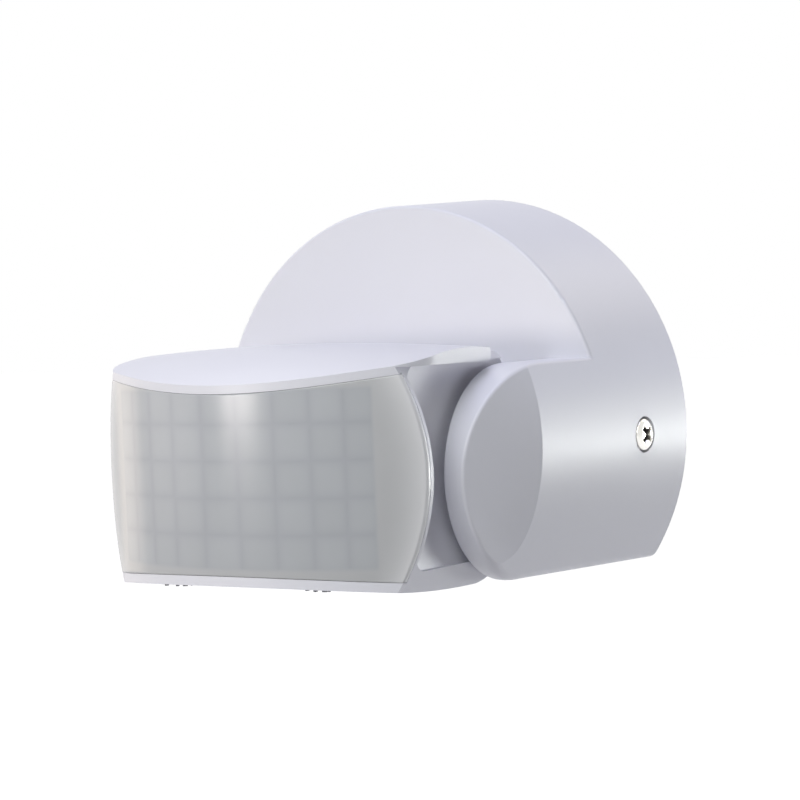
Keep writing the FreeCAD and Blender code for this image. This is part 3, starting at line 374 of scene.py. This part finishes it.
lensWindow = {
    "counts": {"Columns": 211, "Rows": 101},
    "sizes": {  # in millimetres
        "Lens Radius": 56.6, "Axis Out": 31.05, "Thickness": 0.9,
        "Half Width": 35, "Barrel Radius": 45.5, "Barrel Drop": 3.5,
        "Top Radius": 66, "Top Crest Out": 60, "Top Height": 18.6, "Top Crown": 450, "Top Inset": 1.53,
        "Belly Radius": 211, "Belly Out": 54, "Belly Drop": 25.1, "Bottom Inset": 1.73,
        "Facet Width": 7.62, "Facet Height": 6.4, "Facet Top": 12.1, "Facet Relief": 0.25,
    },
    "shares": {
        "Facet Narrowing": 0.656, "Facet Columns": 4.5, "Facet Rows": 5.0, "Border Sharpness": 8.0,
        "Edge Start": 0.4, "Edge Reach": 0.1,
    },
    "finish": {
        # edge: painted light, the near-white that the border takes at the window's two ends
        "seam": "#AFB1B7", "pane": "#B7BABE", "border": "#BDBEC0", "edge": "#E8E8EA", "cellSpread": 0.015,
        # lowTone to highTone from lowMm to highMm: painted light, paler towards the top
        "hazeSpread": 0.03, "cloudMm": 9, "cloudDetail": 2.0, "lowTone": 0.93, "highTone": 1.08,
        "lowMm": -22, "highMm": 14, "grainMm": 0.25, "grainDetail": 2.0, "grainDepth": 0.1, "bump": 0.08,
        "roughness": 0.2, "ior": 1.54,
    },
    "rim": {"roundMm": 0.14, "segments": 2, "angle": 60},
}


def makeLensTree(settings, material):
    tree, given, names = startTree("facetedLens", settings)
    sheet = addNode(tree, "GeometryNodeMeshCube", {"Vertices X": given["Columns"],
                                                   "Vertices Y": given["Rows"], "Vertices Z": 2})

    def work(text):
        return formula(tree, text, names)

    # The outline is cut by the barrel at the sides and by the head's top and belly: three rounds settle it
    names["x"] = work("2 * u * HalfWidth")
    for _ in range(3):
        names["y"] = work("AxisOut + sqrt(LensRadius * LensRadius - x * x)")
        names["ridge"] = work("TopCrown - TopInset - TopRadius + sqrt(TopRadius * TopRadius"
                              " - (y - TopCrestOut) * (y - TopCrestOut))")
        names["high"] = work("TopHeight - TopCrown + sqrt(ridge * ridge - x * x)")
        names["low"] = work("BellyRadius - BellyDrop - sqrt((BellyRadius - BottomInset)"
                            " * (BellyRadius - BottomInset) - (y - BellyOut) * (y - BellyOut))")
        names["z"] = work("low + (v + 0.5) * (high - low)")
        names["side"] = work("HalfWidth - BarrelRadius + sqrt(BarrelRadius * BarrelRadius"
                             " - (z + BarrelDrop) * (z + BarrelDrop))")
        names["turn"] = work("2 * u * asin(side / LensRadius)")
        names["x"] = work("LensRadius * sin(turn)")
    # Facets: domes with furrows between them, on the inner face only
    names["column"] = work("turn * LensRadius / FacetWidth * (1 + FacetNarrowing * turn * turn)")
    names["row"] = work("(FacetTop - z) / FacetHeight")
    names["across"] = work("abs(fract(column + 0.5) - 0.5) * 2")
    names["down"] = work("abs(fract(row) - 0.5) * 2")
    names["pane"] = work("max(0, 1 - across * across * across * across)"
                         " * max(0, 1 - down * down * down * down)")
    # Outside the facets the window has a plain border, painted lighter towards its two ends as painted light
    names["inside"] = work("min(1, max(0, (FacetColumns - abs(column)) * BorderSharpness))"
                           " * min(1, max(0, row * BorderSharpness))"
                           " * min(1, max(0, (FacetRows - row) * BorderSharpness))")
    names["dome"] = work("1 - inside * (1 - pane)")
    names["edge"] = work("max(0, (abs(u) - EdgeStart) / EdgeReach)"
                         " * max(0, (abs(u) - EdgeStart) / EdgeReach)")
    cell = addNode(tree, "ShaderNodeCombineXYZ", {0: work("floor(column + 0.5)"), 1: work("floor(row)")})
    names["cell"] = addNode(tree, "ShaderNodeTexWhiteNoise", {"Vector": cell}).outputs["Value"]
    names["depth"] = work("Thickness - FacetRelief * (1 - dome)")
    names["radius"] = work("LensRadius - (0.5 - w) * depth")
    names["out"] = work("0 - AxisOut - sqrt(radius * radius - x * x)")
    moved = addNode(tree, "ShaderNodeCombineXYZ", {0: names["x"], 1: names["out"], 2: names["z"]})
    marked = sheet  # the marks are set before the sheet is bent, because they read its flat positions
    for name, shown in {"facet": "dome", "faceted": "inside", "cell": "cell", "edge": "edge"}.items():
        marked = addNode(tree, "GeometryNodeStoreNamedAttribute",
                         {"Geometry": marked, "Name": name, "Value": names[shown]},
                         data_type="FLOAT", domain="POINT")
    bent = addNode(tree, "GeometryNodeSetPosition", {"Geometry": marked, "Position": moved})
    return endTree(tree, bent, material)


def milkyPolyethylene(finish):
    # Compression-moulded high-density polyethylene: cloudy, waxy and pale grey over the dark inside of the
    # head. The facets show through it as soft panes with faint lilac seams, each pane a touch lighter or
    # darker. It is painted paler towards the top as painted light from above
    material, tree, shader, place = newMaterial("milkyPolyethylene")
    facet, faceted, cell, edge = (addNode(tree, "ShaderNodeAttribute", attribute_name=name).outputs["Fac"]
                                  for name in ("facet", "faceted", "cell", "edge"))
    pane = addBlend(tree, facet, finish["seam"], finish["pane"])
    shaded = addNode(tree, "ShaderNodeVectorMath",
                     {0: pane, "Scale": addSpread(tree, cell, 1, finish["cellSpread"])}, operation="SCALE")
    # Painted light: edge blends the border towards a near-white at the window's two ends
    border = addBlend(tree, edge, finish["border"], finish["edge"])
    tone = addNode(tree, "ShaderNodeMix", {"Factor": faceted, 6: border, 7: shaded}, data_type="RGBA")
    cloud = addNoise(tree, place, finish["cloudMm"], finish["cloudDetail"])
    haze = addSpread(tree, cloud, 1, finish["hazeSpread"])
    # Painted light: the colour runs from lowTone at the bottom to highTone at the top, paler upwards as if
    # lit from above
    height = addNode(tree, "ShaderNodeSeparateXYZ", {0: place}).outputs["Z"]
    paintedTopLight = addNode(tree, "ShaderNodeMapRange",
                     {"Value": height, "From Min": finish["lowMm"] * mm, "From Max": finish["highMm"] * mm,
                      "To Min": finish["lowTone"], "To Max": finish["highTone"]})
    level = addNode(tree, "ShaderNodeMath", {0: haze, 1: paintedTopLight.outputs[0]}, operation="MULTIPLY")
    hazed = addNode(tree, "ShaderNodeVectorMath", {0: tone.outputs[2], "Scale": level}, operation="SCALE")
    tree.links.new(hazed.outputs[0], shader.inputs["Base Color"])
    addGrain(tree, shader, place, finish)
    setShader(shader, Roughness=finish["roughness"], IOR=finish["ior"])
    return material


def makeLens(settings):
    tree = makeLensTree(settings, milkyPolyethylene(settings["finish"]))
    lens = growPiece("lensWindow", tree, inMetres(settings), "head")
    rim = settings["rim"]
    edge = lens.modifiers.new("edge", "BEVEL")  # the moulding's eased rim, which catches a line of light
    edge.width, edge.segments, edge.limit_method = rim["roundMm"] * mm, rim["segments"], "ANGLE"
    edge.angle_limit = math.radians(rim["angle"])
    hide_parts("fresnel_lens")
    print("lens:", len(lens.data.polygons), "faces")


makeLens(lensWindow)


# Side screws: pan heads with a deep cross, and the threaded shanks behind them

sideScrew = {
    "counts": {"Around": 161, "Head Rings": 64, "Shank Rings": 61},
    "sizes": {  # in millimetres
        "Head Radius": 3.0, "Head Height": 2.0, "Shoulder Height": 1.0,
        "Cross Length": 1.95, "Cross Width": 1.15, "Cross Depth": 1.1, "Cross Core": 1.05,
        "Cross Slope": 0.12, "Shank Radius": 1.5, "Thread Pitch": 1.05, "Thread Depth": 0.32,
        "Merge Distance": 0.002,
    },
    "shares": {  # of a grid that runs from -0.5 at the top to 0.5
        "Top Share": 0.7, "Wall Start": 0.2, "Wall Share": 0.1, "Under Start": 0.3, "Under Share": 0.2,
        "Thread Onset": 12.0, "Tip Share": 0.08,
    },
    # recessShade: painted shade for the inside of the cross
    "finish": {"bright": "#E9E7E1", "recessShade": "#30292A", "roughness": 0.2, "roughSpread": 0.05,
               "grainMm": 0.2, "grainDetail": 2.0},
    "crossTurn": 45,
}


def nickelPlatedSteel(finish):
    # Cold-headed steel, barrel plated with bright nickel: a warm mirror, with painted shade down in the
    # cross
    material, tree, shader, place = newMaterial("nickelPlatedSteel")
    depth = addNode(tree, "ShaderNodeAttribute", attribute_name="cross").outputs["Fac"]
    # Painted shade: the cross recess is coloured dark for the shade inside it
    tree.links.new(addBlend(tree, depth, finish["bright"], finish["recessShade"]), shader.inputs["Base Color"])
    grain = addNoise(tree, place, finish["grainMm"], finish["grainDetail"])
    rough = addSpread(tree, grain, finish["roughness"], finish["roughSpread"])
    tree.links.new(rough, shader.inputs["Roughness"])
    setShader(shader, Metallic=1.0)
    return material


def makeScrewTree(settings, material, seat):
    tree, given, names = startTree("panHeadScrews", settings, measured=["Shank Length"])
    names["fullTurn"] = 2 * math.pi

    def work(text):
        return formula(tree, text, names)

    def bend(rings, cross):  # wraps a flat grid round the axis: u goes round it, v from the top down
        flat = addNode(tree, "GeometryNodeMeshGrid", {"Size X": 1.0, "Size Y": 1.0,
                                                      "Vertices X": given["Around"],
                                                      "Vertices Y": given[rings]})
        marked = addNode(tree, "GeometryNodeStoreNamedAttribute",
                         {"Geometry": flat, "Name": "cross", "Value": cross},
                         data_type="FLOAT", domain="POINT")
        moved = addNode(tree, "ShaderNodeCombineXYZ", {0: names["p"], 1: names["q"], 2: names["z"]})
        return addNode(tree, "GeometryNodeSetPosition", {"Geometry": marked, "Position": moved})

    def goRound():  # the grid's flat place on a circle of the radius that is set at the time
        names["p"] = work("radius * cos(fullTurn * u)")
        names["q"] = work("radius * sin(fullTurn * u)")

    # Head: a domed top, a short wall and a flat underside, with the cross pressed into the top
    names["top"] = work("min(1, (v + 0.5) / TopShare)")
    names["wall"] = work("min(1, max(0, (v - WallStart) / WallShare))")
    names["under"] = work("min(1, max(0, (v - UnderStart) / UnderShare))")
    names["radius"] = work("HeadRadius * top - (HeadRadius - ShankRadius) * under")
    names["dome"] = work("ShoulderHeight + (HeadHeight - ShoulderHeight)"
                         " * sqrt(max(0, 1 - top * top * top))")
    goRound()
    names["barP"] = work("min(1, max(0, (CrossLength - abs(p)) / CrossSlope))"
                         " * min(1, max(0, (CrossWidth / 2 - abs(q)) / CrossSlope))")
    names["barQ"] = work("min(1, max(0, (CrossLength - abs(q)) / CrossSlope))"
                         " * min(1, max(0, (CrossWidth / 2 - abs(p)) / CrossSlope))")
    names["core"] = work("min(1, max(0, (CrossCore - sqrt(p * p + q * q)) / CrossSlope))")
    names["cross"] = work("max(core, max(barP, barQ)) * (1 - wall)")
    names["z"] = work("(dome - CrossDepth * cross) * (1 - wall)")
    head = bend("Head Rings", names["cross"])
    # Shank: a thread that runs out under the head and at the tip
    names["along"] = work("v + 0.5")
    names["fade"] = work("min(1, along * ThreadOnset)")
    names["tip"] = work("min(1, (1 - along) / TipShare)")
    names["ridge"] = work("abs(fract(along * ShankLength / ThreadPitch + u) - 0.5) * 2")
    names["radius"] = work("(ShankRadius - ThreadDepth * fade * ridge) * tip")
    names["z"] = work("0 - ShankLength * along")
    goRound()
    shank = bend("Shank Rings", 0.0)
    joined = addNode(tree, "GeometryNodeJoinGeometry")
    for part in (shank, head):
        tree.links.new(part.outputs[0], joined.inputs[0])
    closed = addNode(tree, "GeometryNodeMergeByDistance", {"Geometry": joined,
                                                           "Distance": given["Merge Distance"]})
    turned = addNode(tree, "GeometryNodeTransform",
                     {"Geometry": closed, "Rotation": (0, 0, math.radians(settings["crossTurn"]))})
    pair = addNode(tree, "GeometryNodeJoinGeometry")
    for side in (1, -1):  # the head's axis is turned outwards on each side
        placed = addNode(tree, "GeometryNodeTransform",
                         {"Geometry": turned, "Translation": (side * seat[0], seat[1], seat[2]),
                          "Rotation": (0, side * math.pi / 2, 0)})
        tree.links.new(placed.outputs[0], pair.inputs[0])
    return endTree(tree, pair, material)


def makeScrews(settings):
    low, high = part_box("side_screws")
    shankEnd = min(abs(vertex.co.x) for vertex in nodes["side_screws"].data.vertices)
    seatX = high.x - settings["sizes"]["Head Height"] * mm
    tree = makeScrewTree(settings, nickelPlatedSteel(settings["finish"]),
                         (seatX, (low.y + high.y) / 2, (low.z + high.z) / 2))
    screws = growPiece("sideScrews", tree, {**inMetres(settings), "Shank Length": seatX - shankEnd}, "base")
    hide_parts("side_screws")
    print("side screws:", len(screws.data.polygons), "faces")


makeScrews(sideScrew)
